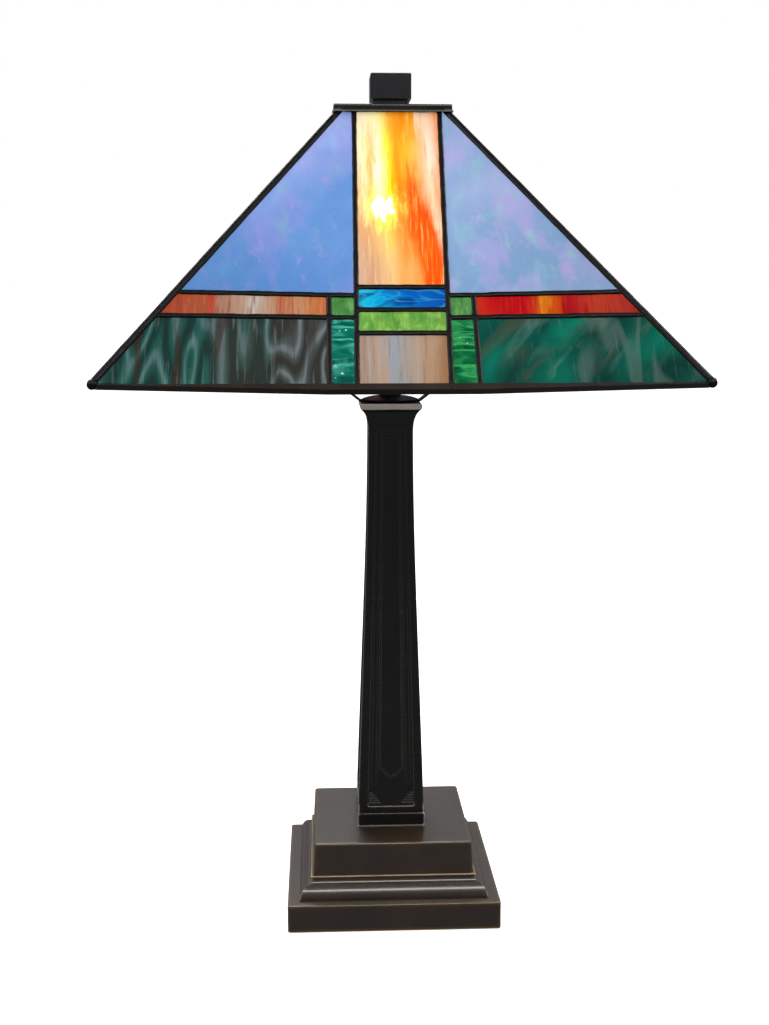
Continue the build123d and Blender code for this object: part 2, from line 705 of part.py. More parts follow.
# a hip runs down the corner between two sides, a little inside their outer surfaces
HIP_DIRECTION = Vector(RUN, -RUN, -RISE)
HIP_START = Vector(hip_x(LEAD_TOP), -hip_x(LEAD_TOP), CROWN_Z - RISE * LEAD_TOP)
HIP_INWARD = Vector(-RISE, RISE, -2 * RUN).normalized() * HIP_INSET
HIP_DROP = HIP_START.Z - BALL_Z
with BuildPart() as hip_rod:
    with BuildSketch(Plane(origin=HIP_START + HIP_INWARD, z_dir=HIP_DIRECTION)):
        Circle(HIP_RADIUS)
    extrude(amount=HIP_DIRECTION.length * HIP_DROP / RISE, both=True)
    with BuildSketch(Plane.XY.offset(BELOW_SHADE)):
        Rectangle(2 * BIG, 2 * BIG)
    extrude(amount=SEAT_Z - 0.5 - BELOW_SHADE, mode=Mode.INTERSECT)
hip_rods = on_four_sides(hip_rod.part)

with BuildPart() as glass_slab:
    with BuildSketch(FRONT_FACE):
        add(pane_layout.sketch)
    extrude(amount=-GLASS)
glass_slabs = on_four_sides(glass_slab.part)

with BuildPart() as corner_balls:
    with GridLocations(2 * BALL_HALF, 2 * BALL_HALF, 2, 2):
        with Locations((0, 0, BALL_Z)):
            Sphere(BALL_RADIUS)
save(corner_balls.part, "corner_balls")

with BuildPart() as front_rim:
    with BuildSketch(FRONT_FACE.offset(-GLASS - RIM_RAISE)):
        add(rim_layout.sketch)
    extrude(amount=GLASS + 2 * RIM_RAISE)
    with BuildSketch():
        Polygon((0, 0), (-BIG, -BIG), (BIG, -BIG), align=None)
    extrude(amount=SHADE_TOP, mode=Mode.INTERSECT)
    add(glass_slab.part, mode=Mode.SUBTRACT)
    add(corner_balls.part, mode=Mode.SUBTRACT)
front_rim_solid = front_rim.part.solids().sort_by(SortBy.VOLUME)[-1]
rim_rails = on_four_sides(front_rim_solid)

with BuildPart() as hip_seams:
    add(hip_rods)
    add(glass_slabs, mode=Mode.SUBTRACT)
    add(rim_rails, mode=Mode.SUBTRACT)
    add(corner_balls.part, mode=Mode.SUBTRACT)
hip_solids = hip_seams.part.solids().sort_by(SortBy.VOLUME)[-4:]
hip_seam_part = Part(hip_solids)
save(hip_seam_part, "hip_seams")

with BuildPart() as front_leads:
    with BuildSketch(FRONT_FACE.offset(-GLASS - LEAD_RAISE)):
        add(lead_layout.sketch)
    extrude(amount=GLASS + 2 * LEAD_RAISE)
    with BuildSketch(Plane.XY.offset(BELOW_SHADE)):
        Rectangle(2 * BIG, 2 * BIG)
    extrude(amount=SEAT_Z - 0.5 - BELOW_SHADE, mode=Mode.INTERSECT)
    add(hip_rods, mode=Mode.SUBTRACT)

for quarter, side in enumerate(("front", "right", "back", "left")):
    turn = (0, 0, 90 * quarter)
    with BuildPart() as side_leads:
        add(front_leads.part, rotation=turn)
    save(side_leads.part, f"solder_lines_{side}")
    with BuildPart() as side_rim:
        add(front_rim_solid, rotation=turn)
    save(side_rim.part, f"rim_channel_{side}")

PANE_SPOTS = {
    "glass_lavender_left": (-55, 110),
    "glass_lavender_right": (60, 110),
    "glass_amber": (0, 80),
    "glass_water_blue": (0, 175),
    "glass_light_green": (0, 194),
    "glass_taupe": (0, 225),
    "glass_caramel_strip": (-100, 180),
    "glass_red_strip": (100, 180),
    "glass_green_square_left": (-40, 182),
    "glass_green_square_right": (40, 182),
    "glass_teal_ripple": (-40, 220),
    "glass_green_ripple": (40, 220),
    "glass_dark_left": (-100, 220),
    "glass_dark_right": (100, 220),
}
for name, (spot_x, spot_down) in PANE_SPOTS.items():
    outline = pane_layout.sketch.faces().sort_by_distance((spot_x, -spot_down, 0))[0]
    with BuildPart() as pane:
        with BuildSketch(FRONT_FACE):
            add(outline)
        extrude(amount=-GLASS)
        add(corner_balls.part, mode=Mode.SUBTRACT)
    save(on_four_sides(pane.part), name)


def cap_outline():
    """Half outline of the square cap, flared at its lip."""
    flare_z = CAP_LIP_Z + 1.6
    corner_half, corner_z = CAP_HALF - CAP_CORNER, SHADE_TOP - CAP_CORNER
    Polyline((0, CAP_LIP_Z), (CAP_LIP_HALF, CAP_LIP_Z), (CAP_HALF, flare_z), (CAP_HALF, corner_z))
    RadiusArc((CAP_HALF, corner_z), (corner_half, SHADE_TOP), -CAP_CORNER)
    Polyline((corner_half, SHADE_TOP), (0, SHADE_TOP), (0, CAP_LIP_Z))


def lead_surface_half(z):
    """Half width of the lead lines' outer surface at a height."""
    return CROWN_HALF + (CROWN_Z - z) / tan(radians(SLOPE)) + LEAD_RAISE / RISE


cap_blank = mitred_square(cap_outline)
with BuildPart() as shade_cap:
    add(cap_blank)
    for z in (CAP_LIP_Z, SEAT_Z):
        with BuildSketch(Plane.XY.offset(z)):
            Rectangle(2 * lead_surface_half(z), 2 * lead_surface_half(z))
    loft(mode=Mode.SUBTRACT)
    add(hip_seam_part, mode=Mode.SUBTRACT)
    with Locations((0, 0, SHADE_TOP)):
        Hole(STUD_RADIUS + 0.5, depth=10)
save(shade_cap.part, "shade_cap")

# ---------------------------------------------------------------- finial
INSERT_RADIUS, INSERT_TOP = 5.5, 653.5
with BuildPart() as finial_block:
    with BuildSketch(Plane.XY.offset(SHADE_TOP)):
        RectangleRounded(FINIAL_NECK_WIDTH, FINIAL_NECK_WIDTH, 1.5)
    extrude(amount=FINIAL_BLOCK_Z - SHADE_TOP)
    with BuildSketch(Plane.XY.offset(FINIAL_BLOCK_Z)):
        RectangleRounded(FINIAL_WIDTH, FINIAL_WIDTH, 1.2)
    extrude(amount=FINIAL_TOP - FINIAL_BLOCK_Z)
    fillet(finial_block.edges().group_by(Axis.Z)[-1], 1.1)
    with BuildSketch(Plane.XY.offset(SHADE_TOP)):
        Circle(INSERT_RADIUS)
    extrude(amount=INSERT_TOP - SHADE_TOP, mode=Mode.SUBTRACT)
save(finial_block.part, "finial_block")

with BuildPart() as finial_insert:
    with BuildSketch(Plane.XY.offset(SHADE_TOP)):
        Circle(INSERT_RADIUS)
    extrude(amount=INSERT_TOP - SHADE_TOP)
    with BuildSketch(Plane.XY.offset(SHADE_TOP)):
        Circle(STUD_RADIUS + 0.1)
    extrude(amount=STUD_TOP + 0.5 - SHADE_TOP, mode=Mode.SUBTRACT)
save(finial_insert.part, "finial_insert")
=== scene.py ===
from math import cos, pi, sin

import bmesh
import bpy
from mathutils import Matrix, Vector, noise


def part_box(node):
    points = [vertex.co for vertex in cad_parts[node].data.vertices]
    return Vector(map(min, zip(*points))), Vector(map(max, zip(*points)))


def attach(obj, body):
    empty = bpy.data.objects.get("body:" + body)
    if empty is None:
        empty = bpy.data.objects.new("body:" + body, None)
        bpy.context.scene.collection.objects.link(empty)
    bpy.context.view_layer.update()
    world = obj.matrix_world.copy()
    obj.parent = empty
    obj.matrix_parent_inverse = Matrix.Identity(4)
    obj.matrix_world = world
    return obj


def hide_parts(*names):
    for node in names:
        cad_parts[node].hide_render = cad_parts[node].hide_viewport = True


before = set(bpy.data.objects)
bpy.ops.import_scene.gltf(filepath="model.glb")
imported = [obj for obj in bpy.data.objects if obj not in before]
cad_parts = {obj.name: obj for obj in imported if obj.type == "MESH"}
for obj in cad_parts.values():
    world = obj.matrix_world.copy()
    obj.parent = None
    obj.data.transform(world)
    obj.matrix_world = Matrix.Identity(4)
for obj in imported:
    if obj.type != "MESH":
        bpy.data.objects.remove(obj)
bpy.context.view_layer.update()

MM = 0.001

# camera
CAMERA_PLACE = (-0.0550, -1.0989, 0.5001)
CAMERA_PITCH, CAMERA_YAW = -0.1637, -0.0462
CAMERA_LENS, CAMERA_SENSOR = 48.68, 36.0

# lights, in watts (the sun in watts on a square metre)
WORLD_GREY = (0.22, 0.22, 0.225, 1.0)
SUN_STRENGTH, SUN_ANGLE = 2.0, 1.2
SOFT_BOX_POWER, SOFT_BOX_SIZE = 15.0, (1.0, 0.45)
SOFT_BOX_PLACE, SOFT_BOX_AIM = (0.25, -1.25, 1.5), (0.0, 0.0, 0.3)
GLOW_POWER, GLOW_RADIUS = 2.2, 31.0 * MM
FLOOR_RADIUS = 60.0

# glass: SIDE_STEP sets the four sides' patterns apart, INNER_STEP the relief of a pane's inner face
GLASS_THICKNESS = 3.0 * MM
SIDE_STEP, INNER_STEP = 0.31, 7.0
SHARP_EDGE = 0.8

# the bulb's light through the glass, painted in as the glass's own glow: full within GLOW_NEAR of the bulb's
# spot, least at GLOW_FAR, with a painted ragged hot spot (its core) and halo
BULB_RADIUS = 30.0 * MM
BULB_SPOT_X = -11.0 * MM
GLOW_NEAR, GLOW_FAR = 20.0 * MM, 190.0 * MM
HALO_RIM, HALO_FULL = 19.0 * MM, 6.0 * MM
CORE_RIM, CORE_FULL = 7.5 * MM, 3.0 * MM
CORE_RAGGED, CORE_HEIGHT = 28.0 * MM, 0.72

# painted highlights on the column: a pale band round the capital's lip, and its edges about the foot
LIP_HIGHLIGHT_HEIGHT = 4.9 * MM
FOOT_HIGHLIGHT_BOTTOM, FOOT_HIGHLIGHT_TOP = 81 * MM, 84 * MM

# solder
SOLDER_VOXEL, SOLDER_PASSES = 0.7 * MM, 4
SOLDER_SWELL, SOLDER_UNEVEN = 0.4 * MM, 0.25 * MM
HIP_RADIUS, HIP_INSET, HIP_UNEVEN = 2.9 * MM, 1.3 * MM, 0.06
HIP_SPOKES, HIP_RING_STEP, HIP_UNDER_CAP = 14, 2.0 * MM, 1.5 * MM
DROP_SHARE, DROP_UNEVEN = 0.82, 0.06

# felt: how deep its edge is pressed, over how wide a band, and how deep its fuzz is
FELT_PRESS, FELT_PRESS_WIDTH, FELT_FUZZ = 0.35 * MM, 2.0 * MM, 0.12 * MM


def linear(red, green, blue):
    """A screen colour from 0 to 255 as the linear colour that a shader takes."""
    return tuple((c / 255) ** 2.2 for c in (red, green, blue)) + (1.0,)


class Shader:
    """One procedural material: a Principled surface, and short calls for the nodes that feed it."""

    def __init__(self, name, sockets=()):
        self.material = bpy.data.materials.new(name)
        self.material.use_nodes = True
        self.tree = self.material.node_tree
        self.surface = self.tree.nodes["Principled BSDF"]
        for socket, value in dict(sockets).items():
            self.feed(socket, value)

    def feed(self, socket, source, node=None):
        """Give a socket of the surface, or of another node, a link or a fixed value."""
        entry = (node or self.surface).inputs[socket]
        if isinstance(source, bpy.types.NodeSocket):
            self.tree.links.new(source, entry)
        else:
            entry.default_value = source

    def node(self, kind, inputs, output=0, **settings):
        """Add a node and return one of its outputs."""
        made = self.tree.nodes.new(kind)
        for setting, value in settings.items():
            setattr(made, setting, value)
        for socket, source in inputs.items():
            self.feed(socket, source, made)
        return made.outputs[output]

    def place(self):
        """Position in the lamp's own frame, in metres."""
        return self.node("ShaderNodeTexCoord", {}, "Object")

    def pane_place(self):
        """Position on a side of the shade: x, down, and a different third number on each side."""
        return self.node("ShaderNodeAttribute", {}, "Vector", attribute_name="pane")

    def part(self, vector, axis):
        """One number of a vector: 0, 1 or 2."""
        return self.node("ShaderNodeSeparateXYZ", {0: vector}, axis)

    def joined(self, x, y, z):
        """A vector made of three numbers."""
        return self.node("ShaderNodeCombineXYZ", {0: x, 1: y, 2: z})

    def scaled(self, vector, factors):
        """A vector stretched by a factor along each axis."""
        return self.node("ShaderNodeVectorMath", {0: vector, 1: factors}, operation="MULTIPLY")

    def noise(self, vector, scale, detail=2.0, roughness=0.5, distortion=0.0):
        """Clouds from about 0.2 to 0.8; scale is how many there are to a metre."""
        values = {"Vector": vector, "Scale": scale, "Detail": detail}
        values.update({"Roughness": roughness, "Distortion": distortion})
        return self.node("ShaderNodeTexNoise", values)

    def maths(self, operation, first, second=0.0, third=0.0):
        """Arithmetic on numbers or on other nodes' outputs."""
        return self.node("ShaderNodeMath", {0: first, 1: second, 2: third}, operation=operation)

    def span(self, value, low, high, to_low=0.0, to_high=1.0):
        """A smooth step of value from low to high."""
        values = {"Value": value, "From Min": low, "From Max": high}
        values.update({"To Min": to_low, "To Max": to_high})
        return self.node("ShaderNodeMapRange", values, interpolation_type="SMOOTHSTEP")

    def ramp(self, value, stops):
        """Screen colours at places from 0 to 1."""
        made = self.tree.nodes.new("ShaderNodeValToRGB")
        self.feed(0, value, made)
        elements = made.color_ramp.elements
        while len(elements) < len(stops):
            elements.new(1.0)
        for element, (at, colour) in zip(elements, stops):
            element.position = at
            element.color = linear(*colour)
        return made.outputs[0]

    def mix(self, factor, first, second, blend="MIX"):
        """Two colours blended by a factor."""
        values = {0: factor, 6: first, 7: second}
        return self.node("ShaderNodeMix", values, 2, data_type="RGBA", blend_type=blend)

    def bump(self, height, distance, strength=1.0):
        """Fine relief from a height of 0 to 1; distance is what 1 stands for, in metres."""
        values = {"Height": height, "Distance": distance, "Strength": strength}
        self.feed("Normal", self.node("ShaderNodeBump", values))

    def edge_wear_and_highlight(self, reach, low, high, most=1.0):
        """A mask for worn edges and for painted edge highlights: most on outer edges and corners, 0 on open
        faces, from how near the far side of the solid is.
        """
        inside = self.node("ShaderNodeAmbientOcclusion", {"Distance": reach}, "AO", inside=True, samples=6)
        return self.span(inside, low, high, most, 0.0)


# ---------------------------------------------------------------- finishes of metal, wood and the rest
def patina(name, dark, pale, roughness, metallic, grain):
    """Cloudy metal or moulded surface between two colours, with fine pitting."""
    s = Shader(name, {"Metallic": metallic})
    place = s.place()
    clouds = s.noise(place, grain, 5.0, 0.6)
    specks = s.noise(place, grain * 14, 3.0, 0.6)
    s.feed("Base Color", s.mix(s.span(clouds, 0.35, 0.7), linear(*dark), linear(*pale)))
    s.feed("Roughness", s.span(clouds, 0.3, 0.7, roughness - 0.06, roughness + 0.1))
    s.bump(specks, 0.00012, 0.5)
    return s


def base_bronze():
    """Satin dark brown patina, olive gold at the corners, and a pale line along the edges that is partly
    rubbed metal and partly a painted highlight.
    """
    s = Shader("base_bronze", {"Coat Weight": 0.8, "Coat Roughness": 0.16})
    place = s.place()
    clouds = s.noise(place, 22, 5.0, 0.6)
    specks = s.noise(place, 900, 4.0, 0.7)
    brown = s.ramp(clouds, [(0.3, (32, 22, 13)), (0.5, (41, 29, 18)), (0.7, (51, 37, 24))])
    gold = s.mix(s.edge_wear_and_highlight(0.0034, 0.55, 0.95, 0.7), brown, linear(98, 74, 22))
    # a pale line along the edges: partly rubbed metal, partly a painted highlight
    wear_and_highlight = s.maths("MULTIPLY", s.edge_wear_and_highlight(0.0014, 0.5, 0.72), s.span(clouds, 0.35, 0.6, 0.5, 1.0))
    s.feed("Base Color", s.mix(wear_and_highlight, gold, linear(206, 180, 146)))
    s.feed("Roughness", s.span(specks, 0.3, 0.7, 0.36, 0.48))
    s.bump(specks, 0.00008, 0.35)
    return s


def dark_bronze():
    """Plain dark brown patina."""
    s = Shader("dark_bronze", {"Specular IOR Level": 0.3})
    place = s.place()
    clouds = s.noise(place, 60, 5.0, 0.6)
    specks = s.noise(place, 1000, 3.0, 0.6)
    s.feed("Base Color", s.ramp(clouds, [(0.3, (20, 13, 8)), (0.7, (38, 26, 17))]))
    s.feed("Roughness", s.span(specks, 0.3, 0.7, 0.34, 0.46))
    s.bump(specks, 0.0001, 0.4)
    return s


def column_bronze():
    """Near-black glossy patina, with a painted pale highlight band round the capital's lip and painted
    highlights on the edges, strongest at the foot.
    """
    s = Shader("column_bronze", {"Coat Weight": 0.3, "Coat Roughness": 0.14, "Specular IOR Level": 0.35})
    place = s.place()
    height = s.part(place, 2)
    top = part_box("column_casting")[1].z
    clouds = s.noise(place, 40, 5.0, 0.6)
    specks = s.noise(place, 1100, 3.0, 0.6)
    colour = s.ramp(clouds, [(0.35, (13, 11, 10)), (0.65, (22, 19, 16))])
    # painted highlights on the edges, strong at the foot and faint above it
    strength = s.span(height, FOOT_HIGHLIGHT_BOTTOM, FOOT_HIGHLIGHT_TOP, 0.95, 0.12)
    edge_highlight = s.maths("MULTIPLY", s.edge_wear_and_highlight(0.0018, 0.45, 0.75), strength)
    colour = s.mix(edge_highlight, colour, linear(206, 204, 186))
    # a painted pale highlight band round the capital's lip, with a ragged lower edge
    ragged = s.maths("MULTIPLY_ADD", s.maths("SUBTRACT", clouds, 0.5), 0.001, height)
    lip = s.span(ragged, top - LIP_HIGHLIGHT_HEIGHT, top - LIP_HIGHLIGHT_HEIGHT + 0.5 * MM)
    under_top = s.span(height, top - 0.1 * MM, top - 0.4 * MM)
    lip = s.maths("MULTIPLY", lip, under_top)
    s.feed("Base Color", s.mix(lip, colour, linear(250, 238, 222)))
    s.feed("Roughness", s.span(clouds, 0.3, 0.7, 0.22, 0.34))
    s.bump(specks, 0.00006, 0.3)
    return s


def black_wood():
    """Black stained wood with a faint upright grain."""
    s = Shader("black_wood", {"Coat Weight": 0.12, "Coat Roughness": 0.25, "Specular IOR Level": 0.3})
    grain = s.noise(s.scaled(s.place(), (1.0, 1.0, 0.08)), 420, 5.0, 0.6, 0.4)
    s.feed("Base Color", s.ramp(grain, [(0.3, (5, 7, 11)), (0.55, (11, 14, 20)), (0.75, (19, 24, 32))]))
    s.feed("Roughness", s.span(grain, 0.3, 0.7, 0.5, 0.36))
    s.bump(grain, 0.0002, 0.5)
    return s


def solder_patina():
    """Black patina on rounded solder."""
    s = Shader("solder", {"Specular IOR Level": 0.2})
    place = s.place()
    clouds = s.noise(place, 70, 4.0, 0.6)
    specks = s.noise(place, 700, 3.0, 0.6)
    s.feed("Base Color", s.ramp(clouds, [(0.3, (4, 4, 5)), (0.6, (9, 8, 8)), (0.8, (19, 17, 15))]))
    s.feed("Roughness", s.span(specks, 0.3, 0.7, 0.38, 0.55))
    s.bump(specks, 0.00015, 0.5)
    return s


def felt_cloth():
    """Dark green pressed felt, matted fibre in every direction."""
    s = Shader("felt", {"Sheen Weight": 0.5, "Sheen Roughness": 0.5, "Roughness": 0.95})
    place = s.place()
    fibres = s.noise(s.scaled(place, (1.0, 1.0, 0.3)), 1500, 6.0, 0.75, 1.5)
    patches = s.noise(place, 60, 3.0)
    tone = s.maths("ADD", s.maths("MULTIPLY", fibres, 0.7), s.maths("MULTIPLY", patches, 0.3))
    s.feed("Base Color", s.ramp(tone, [(0.3, (18, 34, 24)), (0.5, (32, 58, 40)), (0.7, (58, 88, 62))]))
    s.bump(fibres, 0.0004, 0.9)
    return s


def lit_opal():
    """The lit bulb's opal glass, brightest round the filament."""
    s = Shader("opal_bulb", {"Roughness": 0.25, "Emission Strength": 0.85})
    place = s.place()
    low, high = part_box("bulb_envelope")
    rise = s.span(s.part(place, 2), low.z, high.z)
    cloud = s.noise(place, 60, 2.0)
    warm = s.ramp(rise, [(0.0, (196, 132, 70)), (0.35, (240, 186, 112)), (0.7, (255, 226, 158))])
    s.feed("Base Color", s.mix(cloud, linear(120, 112, 96), linear(104, 96, 80)))
    s.feed("Emission Color", warm)
    return s


def clear_glass():
    """Clear glass with a faint haze."""
    s = Shader("clear_glass", {"Roughness": 0.05, "Transmission Weight": 0.9, "IOR": 1.5})
    haze = s.noise(s.place(), 200, 2.0)
    s.feed("Base Color", s.mix(haze, linear(235, 240, 238), linear(214, 222, 220)))
    return s


def glowing_wire():
    """The bulb's glowing filament."""
    s = Shader("filament", {"Roughness": 0.5, "Emission Strength": 8.0})
    flicker = s.noise(s.place(), 300, 2.0)
    glow = s.mix(flicker, linear(255, 214, 140), linear(255, 186, 92))
    s.feed("Base Color", glow)
    s.feed("Emission Color", glow)
    return s


# ---------------------------------------------------------------- glass colours
def leaning(s, place, slant, length):
    """Side coordinates sheared and drawn out, so that noise runs down the pane at a slant."""
    across = s.maths("ADD", s.part(place, 0), s.maths("MULTIPLY", s.part(place, 1), slant))
    return s.joined(across, s.maths("MULTIPLY", s.part(place, 1), length), s.part(place, 2))


def streaks(s, place, fineness, length=0.07, distortion=0.5):
    """Noise drawn out down the slope; length is how much slower it changes down than across."""
    return s.noise(s.scaled(place, (1.0, length, 1.0)), fineness, 4.0, 0.6, distortion)


def wandering(s, place, drift, reach):
    """Position across the side, pushed about by noise."""
    return s.maths("ADD", s.part(place, 0), s.maths("MULTIPLY", s.maths("SUBTRACT", drift, 0.5), reach))


def share(s, value, low, high):
    """Where a value lies between low and high, from 0 to 1."""
    return s.node("ShaderNodeMapRange", {"Value": value, "From Min": low, "From Max": high})


def ridge(s, noise_value, width):
    """1 along the middle contour of a noise, falling to 0 at a distance of width."""
    return s.span(s.maths("ABSOLUTE", s.maths("SUBTRACT", noise_value, 0.5)), width, 0.0)


def tinted(s, colour, mask, low, high, most, tint):
    """Colour turned towards a tint where the mask rises from low to high."""
    return s.mix(s.span(mask, low, high, 0.0, most), colour, linear(*tint))


def lavender(s, place, stops, tints):
    """Iridescent opal: broad soft clouds, mottled with small faint patches of other tints."""
    broad = s.noise(leaning(s, place, 0.1, 0.7), 13, 3.0, 0.5, 0.4)
    small = s.noise(leaning(s, place, 0.1, 0.5), 55, 3.0, 0.6, 0.3)
    fade = s.maths("MULTIPLY", s.maths("SUBTRACT", s.part(place, 1), 0.07), -1.5)
    clouds = s.maths("ADD", s.maths("MULTIPLY", broad, 0.75), s.maths("MULTIPLY", small, 0.25))
    colour = s.ramp(s.maths("ADD", clouds, fade), stops)
    for scale, low, high, most, tint in tints:
        patches = s.noise(leaning(s, place, -0.1, 0.6), scale, 4.0, 0.6, 0.25)
        colour = tinted(s, colour, patches, low, high, most, tint)
    return colour


def lavender_left(s, place):
    """The bluer lavender."""
    stops = [
        (0.3, (94, 142, 208)), (0.45, (106, 150, 214)), (0.58, (134, 164, 226)), (0.74, (176, 194, 250)),
    ]
    return lavender(s, place, stops, [
        (24, 0.48, 0.64, 0.45, (152, 148, 222)), (48, 0.55, 0.7, 0.4, (112, 172, 206)),
        (95, 0.58, 0.7, 0.3, (128, 186, 186)), (78, 0.58, 0.72, 0.3, (186, 160, 222)),
    ])


def lavender_right(s, place):
    """The paler, pinker lavender."""
    stops = [
        (0.3, (128, 164, 206)), (0.45, (144, 170, 212)), (0.58, (164, 178, 222)), (0.74, (188, 198, 240)),
    ]
    return lavender(s, place, stops, [
        (28, 0.47, 0.6, 0.6, (178, 168, 226)), (44, 0.52, 0.66, 0.5, (140, 188, 212)),
        (90, 0.56, 0.68, 0.4, (150, 204, 200)), (72, 0.56, 0.7, 0.4, (196, 172, 222)),
    ])


# colours across the amber pane, from its left edge at 0 to its right edge at 1, at five places down it
AMBER_LEVELS = (
    (0.0, [
        (0.0, (250, 206, 160)), (0.08, (255, 232, 196)), (0.22, (255, 240, 176)), (0.34, (255, 226, 130)),
        (0.43, (248, 162, 44)), (0.56, (244, 134, 10)), (0.7, (246, 154, 36)), (0.76, (252, 220, 184)),
        (0.9, (246, 196, 160)), (1.0, (240, 150, 96)),
    ]),
    (0.04, [
        (0.0, (255, 232, 200)), (0.12, (255, 246, 180)), (0.18, (238, 196, 112)), (0.28, (255, 252, 214)),
        (0.38, (255, 238, 60)), (0.48, (248, 160, 26)), (0.58, (250, 188, 50)), (0.68, (250, 190, 76)),
        (0.8, (246, 190, 136)), (0.88, (254, 230, 206)), (1.0, (242, 158, 108)),
    ]),
    (0.078, [
        (0.0, (244, 180, 120)), (0.1, (255, 236, 180)), (0.17, (240, 196, 96)), (0.27, (255, 253, 220)),
        (0.37, (250, 236, 20)), (0.45, (246, 176, 10)), (0.5, (248, 132, 14)), (0.6, (250, 146, 44)),
        (0.76, (246, 150, 80)), (0.87, (252, 212, 172)), (1.0, (248, 130, 60)),
    ]),
    (0.115, [
        (0.0, (236, 176, 120)), (0.12, (224, 160, 112)), (0.24, (242, 190, 116)), (0.36, (250, 216, 90)),
        (0.46, (244, 164, 74)), (0.54, (248, 138, 48)), (0.7, (250, 110, 16)), (0.88, (252, 168, 100)),
        (0.94, (252, 214, 178)), (1.0, (248, 120, 50)),
    ]),
    (0.155, [
        (0.0, (214, 176, 146)), (0.16, (208, 158, 124)), (0.3, (230, 180, 130)), (0.4, (244, 196, 130)),
        (0.5, (246, 166, 88)), (0.62, (248, 170, 92)), (0.72, (250, 148, 66)), (0.86, (252, 112, 30)),
        (1.0, (255, 74, 10)),
    ]),
)


def amber(s, place):
    """Cream and yellow down the left, peach at the foot, and a flame of deep orange down the right."""
    fine = streaks(s, place, 520, 0.05, 0.4)
    broad = streaks(s, place, 170, 0.16, 0.8)
    wisp = s.maths("ADD", s.maths("MULTIPLY", fine, 0.4), s.maths("MULTIPLY", broad, 0.6))
    across = share(s, wandering(s, place, wisp, 0.017), -0.029, 0.0325)
    down = s.maths("ADD", s.part(place, 1), s.maths("MULTIPLY", s.maths("SUBTRACT", broad, 0.5), 0.07))
    colour = s.ramp(across, AMBER_LEVELS[0][1])
    for (above, _), (reached, stops) in zip(AMBER_LEVELS, AMBER_LEVELS[1:]):
        colour = s.mix(s.span(down, above, reached), colour, s.ramp(across, stops))
    centre = s.maths("ADD", s.maths("MULTIPLY", s.part(place, 1), 0.16), -0.001)
    width = s.maths("MULTIPLY", s.maths("SUBTRACT", s.part(place, 1), 0.055), 0.13)
    widest = s.maths("MINIMUM", width, 0.0085)
    off = s.maths("ABSOLUTE", s.maths("SUBTRACT", wandering(s, place, wisp, 0.02), centre))
    flame = s.span(s.maths("SUBTRACT", off, widest), 0.003, -0.003)
    deep = s.ramp(fine, [(0.38, (255, 72, 0)), (0.52, (255, 92, 6)), (0.68, (255, 132, 36))])
    colour = s.mix(flame, colour, deep)
    colour = tinted(s, colour, fine, 0.58, 0.72, 0.4, (255, 236, 184))
    return tinted(s, colour, fine, 0.44, 0.32, 0.35, (216, 122, 48))


def water_blue(s, place):
    """Cyan running to deep blue, in smooth waves with darker hollows and a painted pale highlight along the
    crests.
    """
    swell = s.noise(s.scaled(place, (0.5, 1.2, 1.0)), 75, 1.0, 0.5, 0.8)
    across = share(s, wandering(s, place, swell, 0.05), -0.032, 0.034)
    colour = s.ramp(across, [
        (0.0, (44, 206, 226)), (0.22, (10, 176, 226)), (0.42, (0, 128, 206)), (0.7, (0, 96, 188)),
        (1.0, (8, 84, 176)),
    ])
    colour = tinted(s, colour, swell, 0.5, 0.36, 0.85, (0, 58, 138))
    # a painted highlight along the crests of the waves
    crest_highlight = ridge(s, s.noise(s.scaled(place, (0.45, 1.3, 1.0)), 80, 1.0, 0.5, 1.0), 0.07)
    return s.mix(s.maths("MULTIPLY", crest_highlight, 0.35), colour, linear(70, 190, 232))


def leaf_green(s, place, stops):
    """Streaky, cloudy green."""
    fine = streaks(s, place, 260, 0.3)
    clouds = s.noise(place, 90, 3.0)
    tone = s.maths("ADD", s.maths("MULTIPLY", fine, 0.5), s.maths("MULTIPLY", clouds, 0.5))
    return s.ramp(tone, stops)


def light_green(s, place):
    """The yellow-green strip."""
    return leaf_green(s, place, [(0.36, (84, 146, 60)), (0.5, (114, 172, 76)), (0.62, (158, 204, 96))])


def square_green(s, place):
    """The deeper green of the small squares."""
    return leaf_green(s, place, [(0.36, (60, 122, 58)), (0.5, (82, 144, 76)), (0.62, (112, 166, 96))])


def banded(s, place, ends, reach, stops, dark, pale):
    """Upright bands of colour across a strip, wavering and finely streaked."""
    drift = s.noise(s.scaled(place, (1.0, 0.15, 1.0)), 110, 3.0, 0.6, 0.4)
    fine = streaks(s, place, 380, 0.05)
    colour = s.ramp(share(s, wandering(s, place, drift, reach), *ends), stops)
    colour = tinted(s, colour, fine, 0.48, 0.34, 0.6, dark)
    return tinted(s, colour, fine, 0.56, 0.74, 0.45, pale)


def taupe(s, place):
    """Brown and grey bands."""
    return banded(s, place, (-0.031, 0.032), 0.02, [
        (0.0, (182, 146, 124)), (0.14, (174, 154, 140)), (0.25, (190, 160, 138)), (0.4, (156, 166, 178)),
        (0.52, (172, 160, 150)), (0.62, (186, 162, 142)), (0.76, (184, 148, 118)), (0.88, (168, 122, 88)),
        (1.0, (160, 118, 88)),
    ], (150, 122, 100), (200, 192, 184))


def caramel(s, place):
    """Brick, cream and brown bands."""
    return banded(s, place, (-0.165, -0.05), 0.03, [
        (0.0, (164, 72, 48)), (0.14, (186, 80, 54)), (0.26, (176, 88, 58)), (0.32, (200, 58, 36)),
        (0.38, (178, 128, 104)), (0.5, (186, 150, 126)), (0.58, (204, 198, 190)), (0.66, (188, 150, 124)),
        (0.74, (188, 104, 66)), (0.82, (196, 140, 104)), (0.9, (198, 122, 78)), (1.0, (196, 106, 50)),
    ], (140, 66, 44), (206, 178, 156))


